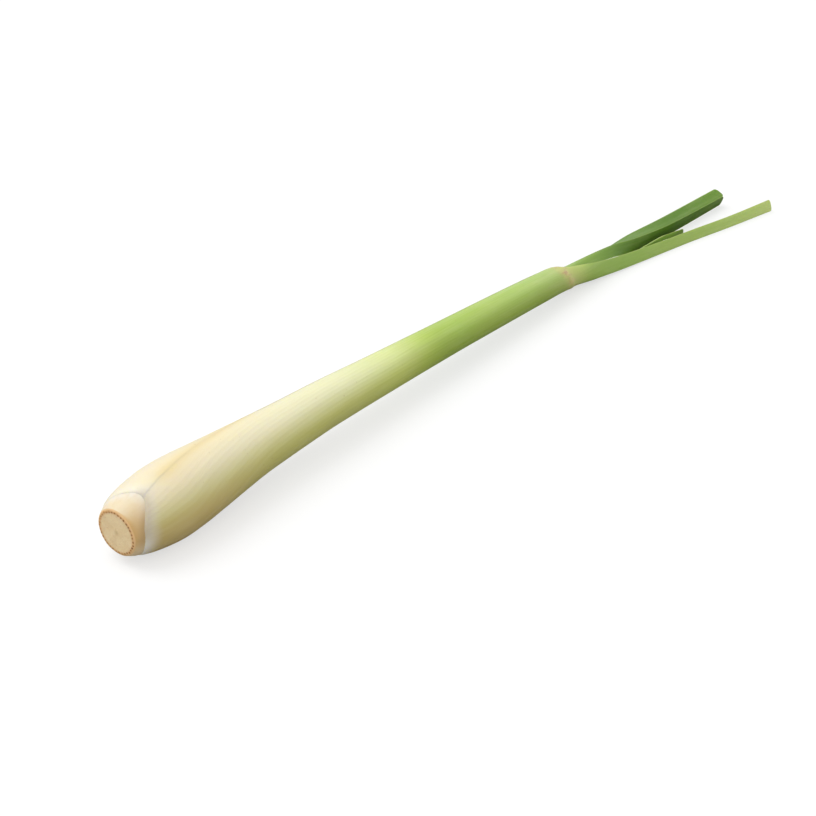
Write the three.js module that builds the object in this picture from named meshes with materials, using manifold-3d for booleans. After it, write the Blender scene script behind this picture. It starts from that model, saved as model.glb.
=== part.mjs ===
// A trimmed lemongrass stalk lying on its side: a cut woody stem, the outer leaf whose sheath is the
// swollen stalk itself and ends in a folded blade, and the two younger leaves that come out of its mouth.
// Millimetres, +Z up. The stalk lies along +X from the root cut to the leaf tips, and the origin is at
// the middle of the underside of its bounding box.
import * as THREE from "three";
import { mergeVertices } from "three/addons/utils/BufferGeometryUtils.js";
import Module from "manifold-3d";

const wasm = await Module();
wasm.setup();

// ---------------------------------------------------------------- driving dimensions
const COLLAR_X = 216.3; // root cut to the collar, where the sheath turns into a blade

const CUT_RADIUS = 7.9; // the cut face of the stem, over its chamfer
const CUT_CHAMFER_WIDTH = 0.45; // the small chamfer round the cut face
const CUT_CHAMFER_LENGTH = 0.4;
const STEM_LENGTH = 6.1; // bare stem in front of the sheath
const STEM_GRIP_RADIUS = 8.8; // the stem's radius where the sheath grips it
const STEM_CONE = 11; // the stem's cone inside the base of the sheath
const FLATTENING = 0.965; // the stalk's height over its width

// The bare stem's flare, from the cut to just before the grip: [distance from the root cut, radius].
const STEM_FLARE = [
  [2.2, 8.85],
  [4.2, 9.55],
  [5.4, 9.65],
];

// The sheath, from its lip on the stem to the collar: [distance from the root cut, radius].
const SHEATH = [
  [6.9, 10.5],
  [12, 11.9],
  [21, 12.4],
  [34, 11.6],
  [59, 9.35],
  [99, 7.55],
  [150, 6.2],
  [199, 5.35],
  [213.3, 4.95],
];

// The stalk's axis: [distance from the root cut, y, height over the floor]. The bulb rests on the
// floor at one end and the leaves at the other, and the stalk arches a little between them. The floor
// is at a height of 0, and the bulb's underside is pressed flat on it.
const AXIS = [
  [0, 0.63, 10.77],
  [20, 0.63, 11.37],
  [40, 0.54, 12.05],
  [60, 0.36, 12.67],
  [85, 0.21, 12.67],
  [115, 0.1, 11.72],
  [150, 0, 10.32],
  [180, 0, 8.82],
  [205, 0, 7.32],
  [COLLAR_X, 0, 6.52],
];

const GAP = 0.3; // clearance kept between pieces that lie against each other
const MOUTH_DEPTH = 12; // how deep the younger leaves sit in the sheath
const MOUTH_X = COLLAR_X - 2; // the rim of the mouth
const MOUTH_BEVEL = 0.6; // how far the sheath narrows at that rim
const FOOT_X = COLLAR_X - MOUTH_DEPTH + GAP; // the lower end of the second leaf's foot
const FOOT_THICKNESS = 6; // solid end of the second leaf's foot

const SECOND_STALK_RADIUS = 2.8; // rolled foot of the second leaf, which narrows to a thin rim
const SECOND_SHOULDER_X = COLLAR_X - 1;
const SECOND_RIM_X = COLLAR_X + 3;
const SECOND_RIM_WALL = 0.3;

const THIRD_STALK_RADIUS = 1.3; // rolled foot of the third leaf, which runs out to a point
const THIRD_SHOULDER_X = COLLAR_X + 1;
const THIRD_POINT_X = COLLAR_X + 6;

const BLADE_THICKNESS = 0.8;
const SHORTEST_EDGE = 0.02; // edges shorter than this are left out where two shapes join
const MARGIN_THICKNESS = 0.65; // a blade's thickness at its margins over that beside the midrib
const DEEPEST_APEX = 0.55; // the inside of a narrow fold starts no deeper than this share of the fold

const ROUND_SIDES = 24;
const SHEATH_STEPS = 40;
const LEAF_FOOT_SIDES = 16;
const BLADE_STEPS = 26;
const BLADE_HALF_FACETS = 5; // facets from the midrib to a margin

// Each leaf blade, station by station past the collar: [distance, y and z of its midrib, half width,
// opening of its fold, roundness of the fold, lean of the midrib]. A lean of 0 has the midrib on top,
// 90 on the +Y side, 180 underneath and 270 on the -Y side.
const OUTER_BLADE = [
  [-4, -3.4, 2.82, 9.2, 64, 0.55, 225],
  [0, -3.3, 2.87, 9.6, 64, 0.55, 225],
  [12, -4.5, 1.62, 7.9, 58, 0.4, 225],
  [30, -7.3, 0.62, 5.9, 50, 0.22, 224],
  [58, -12.2, 0.12, 4.8, 48, 0.16, 223],
  [80, -17.2, 0.02, 4.8, 48, 0.16, 222],
  [101, -21.6, 0.02, 5.2, 48, 0.16, 222],
];
const SECOND_BLADE = [
  [-6, 1.2, 8.97, 2.2, 74, 0.5, 30],
  [4, 1.0, 8.82, 3.9, 76, 0.5, 20],
  [25, -0.2, 7.72, 5.0, 84, 0.28, 4],
  [42, -2.3, 5.82, 5.0, 88, 0.16, -38],
  [60, -4.0, 4.77, 4.9, 90, 0.12, -54],
  [93, -5.6, 4.27, 4.7, 90, 0.12, -66],
];
const THIRD_BLADE = [
  [1, -0.4, 5.52, 0.9, 60, 0.5, 215],
  [8, -1.5, 4.32, 1.4, 56, 0.5, 215],
  [15, -3.0, 3.32, 1.7, 50, 0.36, 214],
  [25, -5.0, 2.32, 1.9, 50, 0.3, 213],
  [33, -6.2, 2.32, 1.9, 50, 0.3, 213],
  [42, -6.6, 2.82, 1.9, 50, 0.3, 213],
  [50, -6.9, 2.62, 2.1, 50, 0.26, 212],
  [57, -7.0, 1.42, 2.3, 50, 0.22, 212],
  [64, -7.0, 0.02, 2.5, 50, 0.2, 212],
];

// ---------------------------------------------------------------- the stalk's own line
const axisCurve = new THREE.CatmullRomCurve3(AXIS.map((point) => new THREE.Vector3(...point)));
const axisLine = axisCurve.getPoints(AXIS.length * 24);

/** The pair of neighbours in a rising list that a value lies between, and how far along it lies. */
function bracket(list, at, value) {
  let first = 0;
  while (first < list.length - 2 && at(list[first + 1]) < value) first++;
  const [a, b] = [list[first], list[first + 1]];
  return [a, b, THREE.MathUtils.clamp((value - at(a)) / (at(b) - at(a)), 0, 1)];
}

/** The point of the stalk's axis at a distance x from the root cut. */
function axisPoint(x) {
  const [a, b, share] = bracket(axisLine, (point) => point.x, x);
  return a.clone().lerp(b, share).setX(x);
}

/** Carries a shape turned about +Y onto the stalk's axis, a little flattened and pressed on the floor. */
function layAlongAxis(geometry) {
  const place = geometry.getAttribute("position");
  for (let i = 0; i < place.count; i++) {
    const centre = axisPoint(place.getY(i));
    const height = centre.z + place.getZ(i) * FLATTENING;
    place.setXYZ(i, centre.x, centre.y - place.getX(i), Math.max(height, 0));
  }
  return geometry;
}

/** A closed shape turned about the stalk's axis. Each profile point is [radius, x]. */
function turned(profile, sides = ROUND_SIDES) {
  const points = profile.map(([radius, x]) => new THREE.Vector2(radius, x));
  const facetDown = Math.PI / sides; // a flat facet faces the floor, not a ridge
  const lathe = new THREE.LatheGeometry(points, sides, facetDown);
  return layAlongAxis(lathe);
}

// ---------------------------------------------------------------- leaf blades
/** Half width, opening, roundness and lean of a blade at a distance past the collar. */
function shapeAt(stations, distance) {
  const [a, b, share] = bracket(stations, (station) => station[0], distance);
  return a.slice(3).map((value, i) => THREE.MathUtils.lerp(value, b[i + 3], share));
}

/** A blade folded along its midrib, from a table of stations past the collar. */
function foldedBlade(stations) {
  const points = stations.map(([distance, y, z]) => new THREE.Vector3(COLLAR_X + distance, y, z));
  const spine = new THREE.CatmullRomCurve3(points, false, "centripetal");

  // a flat strip first: margin to margin along X, outside to inside along Y, base to tip along Z
  const blade = new THREE.BoxGeometry(2, 1, 1, 2 * BLADE_HALF_FACETS, 1, BLADE_STEPS);
  blade.translate(0, 0.5, 0.5);
  const place = blade.getAttribute("position");
  for (let i = 0; i < place.count; i++) {
    const u = place.getX(i);
    const inward = place.getY(i);
    const t = THREE.MathUtils.clamp(place.getZ(i), 0, 1);
    const point = spine.getPointAt(t);
    const along = spine.getTangentAt(t);
    const [halfWidth, opening, roundness, lean] = shapeAt(stations, point.x - COLLAR_X);

    const tilt = THREE.MathUtils.degToRad(lean);
    const midrib = new THREE.Vector3(0, Math.sin(tilt), Math.cos(tilt));
    midrib.addScaledVector(along, -midrib.dot(along)).normalize();
    const side = new THREE.Vector3().crossVectors(along, midrib);

    // the fold's outside, and an inside that is a smaller fold with its own apex and margins
    const half = THREE.MathUtils.degToRad(opening / 2);
    const thickness = Math.min(BLADE_THICKNESS, halfWidth / 3);
    const marginThickness = thickness * MARGIN_THICKNESS;
    const depth = halfWidth * Math.cos(half);
    const fold = (Math.hypot(u, roundness) - roundness) / (Math.hypot(1, roundness) - roundness);
    const outerDepth = depth * (Math.hypot(1, roundness) - roundness);
    const innerDepth = outerDepth + marginThickness * Math.sin(half);
    const innerApex = Math.min(thickness / Math.sin(half), innerDepth * DEEPEST_APEX);
    const outerWidth = halfWidth * Math.sin(half);
    const innerWidth = outerWidth - marginThickness * Math.cos(half);

    const out = u * THREE.MathUtils.lerp(outerWidth, innerWidth, inward);
    const down = THREE.MathUtils.lerp(
      fold * outerDepth,
      THREE.MathUtils.lerp(innerApex, innerDepth, fold),
      inward,
    );
    point.addScaledVector(side, out).addScaledVector(midrib, -down);
    place.setXYZ(i, point.x, point.y, point.z);
  }
  return blade;
}

// ---------------------------------------------------------------- solids
/** Joins closed geometries into one. */
function joined(...geometries) {
  const solids = geometries.map((geometry) => {
    const bare = geometry.clone();
    bare.deleteAttribute("normal");
    bare.deleteAttribute("uv");
    const merged = mergeVertices(bare, 1e-3);
    return new wasm.Manifold(
      new wasm.Mesh({
        numProp: 3,
        vertProperties: merged.getAttribute("position").array,
        triVerts: new Uint32Array(merged.index.array),
      }),
    );
  });
  const whole = solids.reduce((sum, solid) => sum.add(solid));
  const mesh = whole.simplify(SHORTEST_EDGE).getMesh();
  const result = new THREE.BufferGeometry();
  result.setAttribute("position", new THREE.BufferAttribute(mesh.vertProperties, 3));
  result.setIndex(new THREE.BufferAttribute(mesh.triVerts, 1));
  result.computeVertexNormals();
  return result;
}

// ---------------------------------------------------------------- the pieces
/** The cut, woody foot of the stalk, with the cone that carries the leaves. */
function stemBase() {
  return turned([
    [0, 0],
    [CUT_RADIUS - CUT_CHAMFER_WIDTH, 0],
    [CUT_RADIUS, CUT_CHAMFER_LENGTH],
    ...STEM_FLARE.map(([x, radius]) => [radius, x]),
    [STEM_GRIP_RADIUS, STEM_LENGTH],
    [0, STEM_LENGTH + STEM_CONE],
  ]);
}

/** The outer leaf: the sheath that is the body of the stalk, joined at the collar to its own blade. */
function outerLeaf() {
  const lip = STEM_LENGTH + GAP;
  const neck = SHEATH[SHEATH.length - 1][1];
  const mouthRadius = SECOND_STALK_RADIUS + GAP;
  const outside = new THREE.SplineCurve(SHEATH.map(([x, radius]) => new THREE.Vector2(radius, x)));
  const sheath = turned([
    [0, lip + STEM_CONE],
    [STEM_GRIP_RADIUS, lip],
    ...outside.getPoints(SHEATH_STEPS).map((p) => [p.x, p.y]),
    [neck - MOUTH_BEVEL, MOUTH_X],
    [mouthRadius, MOUTH_X],
    [mouthRadius, COLLAR_X - MOUTH_DEPTH],
    [0, COLLAR_X - MOUTH_DEPTH],
  ]);
  return joined(sheath, foldedBlade(OUTER_BLADE));
}

/** The second leaf: its rolled foot in the mouth of the sheath, and the blade that opens from it. */
function secondLeaf() {
  const boreRadius = THIRD_STALK_RADIUS + GAP;
  const boreFloor = FOOT_X + FOOT_THICKNESS;
  const roll = turned([
    [0, FOOT_X],
    [SECOND_STALK_RADIUS, FOOT_X],
    [SECOND_STALK_RADIUS, SECOND_SHOULDER_X],
    [boreRadius + SECOND_RIM_WALL, SECOND_RIM_X],
    [boreRadius, SECOND_RIM_X],
    [boreRadius, boreFloor],
    [0, boreFloor],
  ], LEAF_FOOT_SIDES);
  return joined(roll, foldedBlade(SECOND_BLADE));
}

/** The third leaf: a narrow rolled spear between the other two. */
function thirdLeaf() {
  const foot = FOOT_X + FOOT_THICKNESS + GAP;
  const roll = turned([
    [0, foot],
    [THIRD_STALK_RADIUS, foot],
    [THIRD_STALK_RADIUS, THIRD_SHOULDER_X],
    [0, THIRD_POINT_X],
  ], LEAF_FOOT_SIDES);
  return joined(roll, foldedBlade(THIRD_BLADE));
}

/** A named piece with its own matt, slightly waxy colour. */
function piece(name, geometry, colour, roughness) {
  const material = new THREE.MeshStandardMaterial({ color: colour, roughness, metalness: 0 });
  const mesh = new THREE.Mesh(geometry, material);
  mesh.name = name;
  return mesh;
}

const stalk = new THREE.Group();
stalk.add(
  piece("stem_base", stemBase(), 0xe6cfa3, 0.7),
  piece("outer_leaf", outerLeaf(), 0xc9d79a, 0.45),
  piece("second_leaf", secondLeaf(), 0x7da354, 0.5),
  piece("third_leaf", thirdLeaf(), 0x8fb463, 0.5),
);

const box = new THREE.Box3().setFromObject(stalk, true);
const middle = box.getCenter(new THREE.Vector3());
stalk.position.set(-middle.x, -middle.y, -box.min.z);

export default stalk;
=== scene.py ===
"""A trimmed lemongrass stalk lying on a pale floor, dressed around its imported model.

The stalk is grown leaf by leaf. Each leaf starts as a rolled sheath or foot and opens into a folded
blade, and one Geometry Nodes rule makes all three from a line of stations. The cut stem is turned, and
its wood vessels are set into the cut. Sizes are millimetres along the stalk, from the root cut. A lean is
an angle round the stalk in degrees: 0 is up, 90 the far side and -90 the near side.
"""

import logging
import math
from dataclasses import dataclass, field
from enum import Enum
from typing import Any, Callable, Mapping, Sequence

import bpy
import numpy as np
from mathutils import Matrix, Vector, noise


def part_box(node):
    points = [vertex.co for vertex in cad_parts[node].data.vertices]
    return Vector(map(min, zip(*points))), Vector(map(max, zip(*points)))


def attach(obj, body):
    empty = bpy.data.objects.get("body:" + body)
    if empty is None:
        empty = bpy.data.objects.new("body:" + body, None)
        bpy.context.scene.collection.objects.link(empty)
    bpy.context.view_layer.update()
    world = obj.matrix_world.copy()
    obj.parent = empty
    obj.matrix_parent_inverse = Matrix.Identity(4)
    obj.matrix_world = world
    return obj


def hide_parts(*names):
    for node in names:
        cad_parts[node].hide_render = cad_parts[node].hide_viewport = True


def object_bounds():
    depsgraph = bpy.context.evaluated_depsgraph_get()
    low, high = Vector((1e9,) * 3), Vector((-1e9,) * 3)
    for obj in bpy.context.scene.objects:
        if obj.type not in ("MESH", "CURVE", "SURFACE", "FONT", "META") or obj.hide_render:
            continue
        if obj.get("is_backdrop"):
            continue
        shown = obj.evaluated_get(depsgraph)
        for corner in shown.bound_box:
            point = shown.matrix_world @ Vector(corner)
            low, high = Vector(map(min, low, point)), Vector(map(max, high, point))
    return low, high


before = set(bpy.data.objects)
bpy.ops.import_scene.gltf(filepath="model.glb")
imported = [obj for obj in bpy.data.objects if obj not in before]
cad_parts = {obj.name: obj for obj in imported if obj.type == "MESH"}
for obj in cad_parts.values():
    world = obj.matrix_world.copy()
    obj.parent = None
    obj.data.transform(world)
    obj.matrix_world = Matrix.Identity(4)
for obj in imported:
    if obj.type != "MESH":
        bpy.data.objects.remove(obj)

MM = 0.001
LOG = logging.getLogger("lemongrass")
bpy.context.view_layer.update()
PER_POINT = {"data_type": "FLOAT_VECTOR", "domain": "POINT"}
Operator = Callable[["Value", Any], "Value"]
Span = tuple[float, float]  # where something starts and ends, or its least and most


# ------------ small helpers
def tone(code: str) -> tuple[float, float, float, float]:
    """A linear colour.

    Args:
        code: six digits, such as e6cfa3.

    Returns:
        Its red, green and blue, and an alpha of 1.
    """
    parts = [int(code[i : i + 2], 16) / 255 for i in (0, 2, 4)]
    linear = [c / 12.92 if c <= 0.04045 else ((c + 0.055) / 1.055) ** 2.4 for c in parts]
    return (linear[0], linear[1], linear[2], 1.0)


def smooth(low: float, high: float, value: float) -> float:
    """0 below low, 1 above high, and a soft step between them."""
    share = min(max((value - low) / (high - low), 0.0), 1.0)
    return share * share * (3 - 2 * share)


def ladder(*spans: tuple[float, float, float]) -> list[float]:
    """Distances along the stalk.

    Args:
        spans: the start, end and step of each span, end to end.

    Returns:
        The distances from the first start to the last end.
    """
    steps: list[float] = []
    for start, end, step in spans:
        count = max(1, round((end - start) / step))
        steps += [start + (end - start) * i / count for i in range(count)]
    return steps + [spans[-1][1]]


class Course:
    """Values that run smoothly through a table of stations, without overshooting it."""

    def __init__(self, stations: Sequence[Sequence[float]]) -> None:
        """Fits the curve.

        Args:
            stations: rows of a distance and the values there, in rising order.
        """
        table = np.array(stations, float)
        self.x = table[:, 0]
        self.values = table[:, 1:]
        step = np.diff(self.x)[:, None]
        rise = np.diff(self.values, axis=0) / step
        self.slope = np.zeros_like(self.values)
        self.slope[0], self.slope[-1] = rise[0], rise[-1]
        for i in range(1, len(self.x) - 1):
            before, after = rise[i - 1], rise[i]
            w1, w2 = 2 * step[i] + step[i - 1], step[i] + 2 * step[i - 1]
            with np.errstate(divide="ignore", invalid="ignore"):
                mean = (w1 + w2) / (w1 / before + w2 / after)
            self.slope[i] = np.where(before * after <= 0, 0.0, mean)

    def at(self, x: float) -> list[float]:
        """The values at a distance.

        Args:
            x: the distance, which is held at the table's ends.

        Returns:
            One value for each column after the first.
        """
        x = float(min(max(x, self.x[0]), self.x[-1]))
        i = int(min(max(np.searchsorted(self.x, x) - 1, 0), len(self.x) - 2))
        span = self.x[i + 1] - self.x[i]
        t = (x - self.x[i]) / span
        start, end = self.values[i], self.values[i + 1]
        leaving, arriving = self.slope[i] * span, self.slope[i + 1] * span
        value = (
            (2 * t**3 - 3 * t**2 + 1) * start
            + (t**3 - 2 * t**2 + t) * leaving
            + (3 * t**2 - 2 * t**3) * end
            + (t**3 - t**2) * arriving
        )
        return [float(v) for v in value]


# ------------ node graphs
def operator(operation: str) -> tuple[Operator, Operator]:
    """An operator of Value.

    Args:
        operation: what its node does.

    Returns:
        The method and its reflected form.
    """

    def plain(value: "Value", other: Any) -> "Value":
        """Adds the node."""
        return value.graph.math(operation, value, other)

    def reflected(value: "Value", other: Any) -> "Value":
        """Adds the node with its terms the other way round."""
        return value.graph.math(operation, other, value)

    return plain, reflected


class Value:
    """An output socket whose arithmetic adds nodes to its graph, also where it stands second."""

    def __init__(self, graph: "Graph", socket: bpy.types.NodeSocket | None) -> None:
        """Keeps the graph and the socket, which an output node doesn't have."""
        self.graph = graph
        self.socket = socket

    @property
    def is_vector(self) -> bool:
        """Whether the socket carries a vector."""
        return self.socket.type == "VECTOR"

    __add__, __radd__ = operator("ADD")
    __sub__, __rsub__ = operator("SUBTRACT")
    __mul__, __rmul__ = operator("MULTIPLY")
    __truediv__, __rtruediv__ = operator("DIVIDE")
    __pow__, __rpow__ = operator("POWER")


class Graph:
    """A node tree that is written as expressions."""

    def __init__(self, tree: bpy.types.NodeTree) -> None:
        """Keeps the tree."""
        self.tree = tree

    @staticmethod
    def _socket(sockets: Any, key: int | str) -> bpy.types.NodeSocket:
        """The socket in use with this name or number."""
        used = [s for s in sockets if s.enabled]
        return used[key] if isinstance(key, int) else next(s for s in used if s.name == key)

    def add(
        self,
        kind: str,
        settings: Mapping[str, Any] | None = None,
        inputs: Mapping[int | str, Any] | None = None,
        output: int | str = 0,
    ) -> Value:
        """Adds one node.

        Args:
            kind: the node's type.
            settings: its properties, or a ramp's stops, which are set first.
            inputs: values or links of its sockets, by name or number.
            output: the output that is wanted.

        Returns:
            The wanted output.
        """
        made = self.tree.nodes.new(kind)
        for name, value in (settings or {}).items():
            if name == "stops":
                ramp = made.color_ramp
                while len(ramp.elements) < len(value):
                    ramp.elements.new(1.0)
                for element, (place, colour) in zip(ramp.elements, value):
                    element.position = place
                    element.color = colour
            else:
                setattr(made, name, value)
        for key, value in (inputs or {}).items():
            socket = self._socket(made.inputs, key)
            if isinstance(value, Value):
                self.tree.links.new(value.socket, socket)
            else:
                socket.default_value = value
        return Value(self, self._socket(made.outputs, output) if len(made.outputs) else None)

    def math(self, operation: str, *terms: Any) -> Value:
        """Adds a Math node, or a Vector Math node where a term is a vector.

        Args:
            operation: what the node does.
            terms: numbers, vectors or values, in the order of its sockets.

        Returns:
            The result.
        """
        vector = any(isinstance(t, (tuple, Vector)) or (isinstance(t, Value) and t.is_vector) for t in terms)
        if not vector:
            return self.add("ShaderNodeMath", {"operation": operation}, dict(enumerate(terms)))
        full = [(t,) * 3 if isinstance(t, (int, float)) else t for t in terms]
        return self.add("ShaderNodeVectorMath", {"operation": operation}, dict(enumerate(full)))

    def parts(self, vector: Value) -> tuple[Value, Value, Value]:
        """The three numbers of a vector."""
        node = self.add("ShaderNodeSeparateXYZ", None, {0: vector}).socket.node
        return tuple(Value(self, s) for s in node.outputs)

    def vector(self, x: Any, y: Any, z: Any) -> Value:
        """A vector from three numbers."""
        return self.add("ShaderNodeCombineXYZ", None, {0: x, 1: y, 2: z})

    def blend(self, share: Any, a: Any, b: Any) -> Value:
        """A number or vector between a and b."""
        return a + (b - a) * share

    def colour_mix(self, share: Any, a: Any, b: Any, how: str = "MIX") -> Value:
        """A colour mixed from a and b."""
        settings = {"data_type": "RGBA", "blend_type": how, "clamp_factor": True}
        return self.add("ShaderNodeMix", settings, {"Factor": share, "A": a, "B": b}, "Result")

    def wash(self, base: Any, share: Any, code: str, how: str = "MIX") -> Value:
        """The base with a share of the colour of a six digit code over it."""
        return self.colour_mix(share, base, tone(code), how)

    def step(self, value: Any, low: Any, high: Any) -> Value:
        """A soft step from 0 at low to 1 at high, falling where high is the lower one."""
        share = self.math("MAXIMUM", self.math("MINIMUM", (value - low) / (high - low), 1.0), 0.0)
        return share * share * (3.0 - 2.0 * share)

    def peak(self, value: Any) -> Value:
        """A bell that is 1 at 0 and falls to nearly nothing at 2 on either side."""
        return self.math("EXPONENT", value * value * -1.0)

    def noise(self, place: Value, scale: float = 1.0, detail: float = 2.0, rough: float = 0.5) -> Value:
        """Soft noise between 0 and 1."""
        inputs = {"Vector": place, "Scale": scale, "Detail": detail, "Roughness": rough}
        return self.add("ShaderNodeTexNoise", {"noise_dimensions": "3D"}, inputs)


class Rule(Graph):
    """A Geometry Nodes tree with named inputs, which turns a base mesh into a plain mesh."""

    def __init__(self, name: str) -> None:
        """Starts the tree with a geometry input and output.

        Args:
            name: the tree's name.
        """
        super().__init__(bpy.data.node_groups.new(name, "GeometryNodeTree"))
        self.keys: dict[str, str] = {}
        for way in ("INPUT", "OUTPUT"):
            self.tree.interface.new_socket("Geometry", in_out=way, socket_type="NodeSocketGeometry")
        self.entry = self.tree.nodes.new("NodeGroupInput")
        self.base = Value(self, self.entry.outputs["Geometry"])

    def size(self, name: str, default: float | int) -> Value:
        """Adds a named input.

        Args:
            name: what the input is called.
            default: its value where none is given, whole for a whole number.

        Returns:
            The input's value.
        """
        kind = "NodeSocketInt" if isinstance(default, int) else "NodeSocketFloat"
        item = self.tree.interface.new_socket(name, in_out="INPUT", socket_type=kind)
        item.default_value = default
        self.keys[name] = item.identifier
        return Value(self, self.entry.outputs[name])

    def store(self, geometry: Value, name: str, vector: Value) -> Value:
        """Keeps a vector on the geometry's points under a name."""
        inputs = {"Geometry": geometry, "Name": name, "Value": vector}
        return self.add("GeometryNodeStoreNamedAttribute", PER_POINT, inputs)

    def draw(self, low: float, high: float, seed: Any) -> Value:
        """A random number between low and high for each point."""
        inputs = {"Min": low, "Max": high, "Seed": seed}
        return self.add("FunctionNodeRandomValue", {"data_type": "FLOAT"}, inputs)

    def close(self, geometry: Value, material: bpy.types.Material) -> None:
        """Ends the tree in Realize Instances and Set Material.

        Args:
            geometry: what the tree has made.
            material: what it is dressed in.
        """
        real = self.add("GeometryNodeRealizeInstances", None, {"Geometry": geometry})
        dressed = self.add("GeometryNodeSetMaterial", None, {"Geometry": real, "Material": material})
        last = self.tree.nodes.new("NodeGroupOutput")
        self.tree.links.new(dressed.socket, last.inputs["Geometry"])

    def grow(self, name: str, base: bpy.types.Mesh, sizes: Mapping[str, float | int]) -> bpy.types.Object:
        """Runs the rule on a mesh.

        Args:
            name: the finished piece's name.
            base: the mesh that the rule starts from.
            sizes: values of the named inputs that differ from their defaults.

        Returns:
            The finished piece, with no modifier left on it.
        """
        seed = bpy.data.objects.new(name + "_base", base)
        bpy.context.scene.collection.objects.link(seed)
        modifier = seed.modifiers.new(self.tree.name, "NODES")
        modifier.node_group = self.tree
        for key, value in sizes.items():
            modifier[self.keys[key]] = value
        view = bpy.context.evaluated_depsgraph_get()
        mesh = bpy.data.meshes.new_from_object(seed.evaluated_get(view), depsgraph=view)
        seed.modifiers.remove(modifier)
        bpy.data.objects.remove(seed)
        mesh.name = name
        return place_piece(name, mesh)


def place_piece(name: str, mesh: bpy.types.Mesh) -> bpy.types.Object:
    """Links a mesh to the scene as an object at the origin.

    Args:
        name: the object's name.
        mesh: its mesh, which holds its place.

    Returns:
        The object.
    """
    piece = bpy.data.objects.new(name, mesh)
    bpy.context.scene.collection.objects.link(piece)
    return piece


def clear_nodes(owner: bpy.types.Material | bpy.types.World) -> Graph:
    """Empties a material's or a world's nodes.

    Args:
        owner: the material or world.

    Returns:
        Its graph.
    """
    owner.use_nodes = True
    owner.node_tree.nodes.clear()
    return Graph(owner.node_tree)


def principled(graph: Graph, inputs: Mapping[str, Any]) -> None:
    """Ends a material in a Principled surface with these inputs."""
    surface = graph.add("ShaderNodeBsdfPrincipled", None, inputs, "BSDF")
    graph.add("ShaderNodeOutputMaterial", None, {"Surface": surface})


# ------------ where the stalk lies
@dataclass(frozen=True)
class Datum:
    """Turns distances on the stalk into places in the shared frame."""

    x: float
    y: float
    floor: float

    def point(self, x: float, y: float, z: float) -> Vector:
        """The place of a point given along the stalk, across it and over the floor, in millimetres."""
        return Vector((self.x + x * MM, self.y + y * MM, self.floor + z * MM))


# The stalk's axis: distance from the root cut, sideways place, height.
AXIS = Course(
    [
        (0, 0.63, 10.77), (20, 0.63, 11.37), (40, 0.54, 12.05), (60, 0.36, 12.67), (85, 0.21, 12.67),
        (115, 0.1, 11.72), (150, 0, 10.32), (180, 0, 8.82), (205, 0, 7.32), (216.3, 0, 6.52),
    ]
)
AXIS_AT_CUT = 0.63
FLATTENING = 0.965  # how far the stem and the sheath are pressed flat
COLLAR = 216.3  # where the blade tables start
COLLAR_LINE = 214.4  # where the collar's band runs, and how far it slants round the leaf
COLLAR_SLANT = 2.6
COLLAR_LEAN = -12.0
LIP = 8.0  # where the sheath's lip lies on the stem
LIP_LOW_LEAN = -108.0  # it reaches down the stem on the near lower side
LIP_LOW_SPAN = (-0.1, 1.05)
LIP_LOW_REACH = 5.4
LIP_FAR_LEAN = 90.0  # and again on the far side
LIP_FAR_SPAN = (-0.35, 1.0)
LIP_FAR_REACH = 5.0
LIP_FADE = 19.0  # where that reach begins on the sheath
LIP_CLOSING = (0.19, 0.019)  # how the lip closes on the stem as it reaches: per mm, per mm squared
SHADED_LEAN = -110.0  # the sides that the finishes tint, mostly with painted shade: turned from the light, lowest, and near
LOW_LEAN = -120.0
NEAR_LEAN = -50.0


def find_datum() -> Datum:
    """The datum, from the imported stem's box and the floor under the whole stalk."""
    low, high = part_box("stem_base")
    return Datum(low.x, (low.y + high.y) / 2 - AXIS_AT_CUT * MM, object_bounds()[0].z)


def toward(away: Value, up: Value, lean: float) -> Value:
    """How squarely a surface that faces away and up by this much faces a lean."""
    return away * math.sin(math.radians(lean)) + up * math.cos(math.radians(lean))


def lip_reach(away: Value, up: Value) -> Value:
    """How far down the stem the lip reaches, in mm, where the sheath faces away and up by this much."""
    low = away.graph.step(toward(away, up, LIP_LOW_LEAN), *LIP_LOW_SPAN) * LIP_LOW_REACH
    return low + away.graph.step(toward(away, up, LIP_FAR_LEAN), *LIP_FAR_SPAN) * LIP_FAR_REACH


def collar_line(away: Value, up: Value) -> Value:
    """The distance of the collar's band where the leaf faces away and up by this much."""
    return COLLAR_LINE - toward(away, up, COLLAR_LEAN) * COLLAR_SLANT


class Finish(Enum):
    """The record's finish slots."""

    CUT_STEM = "cut_stem"
    OUTER_LEAF = "outer_leaf_skin"
    SECOND_LEAF = "second_leaf_skin"
    THIRD_LEAF = "third_leaf_skin"


# ------------ finishes
@dataclass(frozen=True)
class Place:
    """What a leaf's finish reads at a place on the leaf."""

    x: Value  # distance from the root cut
    across: Value  # distance from the midrib, round the skin
    u: Value  # share of the half width, -1 to 1
    away: Value  # how squarely it faces the far side
    up: Value  # and up
    inside: Value  # 1 on the inner face

    def toward(self, lean: float) -> Value:
        """How squarely the place faces a lean."""
        return toward(self.away, self.up, lean)


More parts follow.
